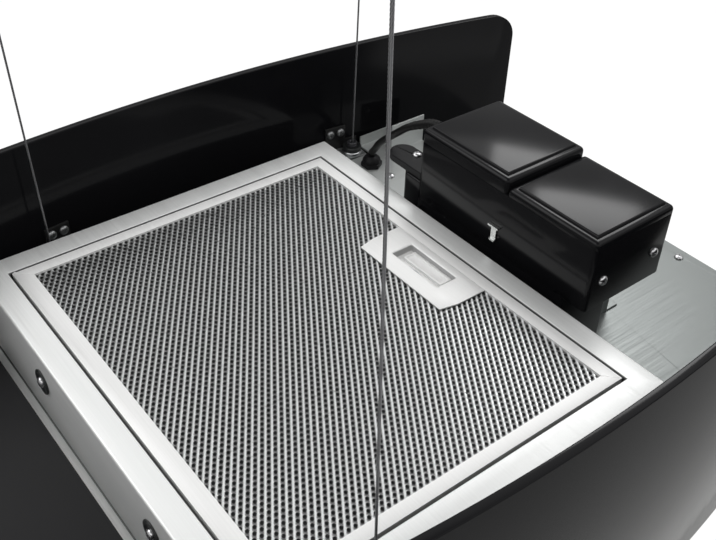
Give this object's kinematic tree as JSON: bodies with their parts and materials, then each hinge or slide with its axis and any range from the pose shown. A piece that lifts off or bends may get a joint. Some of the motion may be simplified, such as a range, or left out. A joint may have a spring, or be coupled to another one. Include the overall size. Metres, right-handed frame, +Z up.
{
  "type": "suspended range hood",
  "caption": "Cable-hung recirculating range hood: bowed gloss-black side panels, steel outlet filter on top, fan, grease filter, lamps and electronics box.",
  "frame": {"origin": "middle of the hood between its two panels, at the panels' lower edge", "axes": "+X along the panels towards the electronics box, +Y towards the back panel, +Z up"},
  "size_m": [0.65, 0.4344, 0.57],
  "materials": {
    "panel": "gloss",
    "casing": "satin",
    "steel": "brushed",
    "outlet": "brushed",
    "filter": "brushed",
    "mesh": "satin",
    "pack": "matt",
    "latch": "satin",
    "spring": "polished",
    "plastic_dark": "satin",
    "carbon": "rough",
    "zinc": "satin",
    "knob": "satin",
    "copper": "satin",
    "rotor": "satin",
    "rubber": "matt",
    "screws": "bright zinc",
    "lamp": "satin",
    "lens": "frosted",
    "board": "satin",
    "button": "gloss",
    "box": "gloss",
    "clip": "satin",
    "cord": "satin",
    "driver": "satin",
    "gripper": "polished",
    "collar": "satin",
    "cable": "twisted wire"
  },
  "bodies": {
    "hood": {"panel_front": "panel", "panel_back": "panel", "casing": "casing", "deck": "steel", "outlet_box": "outlet", "carbon_case": "plastic_dark", "carbon_fill": "carbon", "carbon_rails": "zinc", "rail_screws": "knob", "plenum": "zinc", "inlet_ring": "zinc", "motor_bridge": "zinc", "motor_stator": "copper", "motor_mounts": "rubber", "motor_bolts": "screws", "lamp_housings": "lamp", "lamp_lenses": "lens", "control_plate": "panel", "control_board": "board", "box_support": "steel", "box_tub": "box", "lid_low": "box", "lid_high": "box", "box_screws": "screws", "box_clip": "clip", "circuit_board": "board", "capacitor": "lamp", "inlet_block": "plastic_dark", "gland": "plastic_dark", "lead": "cord", "left_cover": "casing", "lamp_driver": "driver", "brackets": "steel", "corner_shelf": "steel", "sheet_screws": "screws", "grippers": "gripper", "cables": "cable", "ceiling_cups": "gripper", "ceiling_screws": "screws", "panel_screws": "screws"},
    "fan": {"motor_rotor": "rotor", "motor_shaft": "spring", "impeller": "plastic_dark"},
    "outlet_filter": {"outlet_frame": "filter", "outlet_mesh": "mesh", "outlet_pack": "pack", "latch_plate": "latch", "latch_spring": "spring"},
    "outlet_latch": {"latch_slide": "latch"},
    "grease_filter": {"grease_frame": "filter", "grease_mesh": "mesh", "grease_latch_plate": "latch"},
    "grease_latch": {"grease_slide": "latch"},
    "light_button": {"button_light": "button"},
    "speed_button": {"button_speed": "button"},
    "power_button": {"button_power": "button"},
    "release_front_left": {"collar_front_left": "collar"},
    "release_front_right": {"collar_front_right": "collar"},
    "release_back_left": {"collar_back_left": "collar"},
    "release_back_right": {"collar_back_right": "collar"}
  },
  "joints": [
    {"name": "fan_spin", "type": "hinge", "parent": "hood", "child": "fan", "pos_m": [-0.0332, 0, 0.08], "axis": [0, 0, 1], "continuous": true},
    {"name": "outlet_filter_hinge", "type": "hinge", "parent": "hood", "child": "outlet_filter", "pos_m": [-0.162, 0, 0.1678], "axis": [0, -1, 0], "range_deg": [0, 75]},
    {"name": "outlet_latch_slide", "type": "slide", "parent": "outlet_filter", "child": "outlet_latch", "axis": [-1, 0, 0], "range_m": [0, 0.004], "stiffness_N_per_m": 400},
    {"name": "grease_filter_hinge", "type": "hinge", "parent": "hood", "child": "grease_filter", "pos_m": [-0.162, 0, 0.0082], "axis": [0, 1, 0], "range_deg": [0, 80]},
    {"name": "grease_latch_slide", "type": "slide", "parent": "grease_filter", "child": "grease_latch", "axis": [-1, 0, 0], "range_m": [0, 0.004], "stiffness_N_per_m": 400},
    {"name": "light_press", "type": "slide", "parent": "hood", "child": "light_button", "axis": [0, 0, 1], "range_m": [0, 0.0012], "stiffness_N_per_m": 800},
    {"name": "speed_press", "type": "slide", "parent": "hood", "child": "speed_button", "axis": [0, 0, 1], "range_m": [0, 0.0012], "stiffness_N_per_m": 800},
    {"name": "power_press", "type": "slide", "parent": "hood", "child": "power_button", "axis": [0, 0, 1], "range_m": [0, 0.0012], "stiffness_N_per_m": 800},
    {"name": "release_front_left_press", "type": "slide", "parent": "hood", "child": "release_front_left", "axis": [0, 0, -1], "range_m": [0, 0.002], "stiffness_N_per_m": 800},
    {"name": "release_front_right_press", "type": "slide", "parent": "hood", "child": "release_front_right", "axis": [0, 0, -1], "range_m": [0, 0.002], "stiffness_N_per_m": 800},
    {"name": "release_back_left_press", "type": "slide", "parent": "hood", "child": "release_back_left", "axis": [0, 0, -1], "range_m": [0, 0.002], "stiffness_N_per_m": 800},
    {"name": "release_back_right_press", "type": "slide", "parent": "hood", "child": "release_back_right", "axis": [0, 0, -1], "range_m": [0, 0.002], "stiffness_N_per_m": 800}
  ]
}
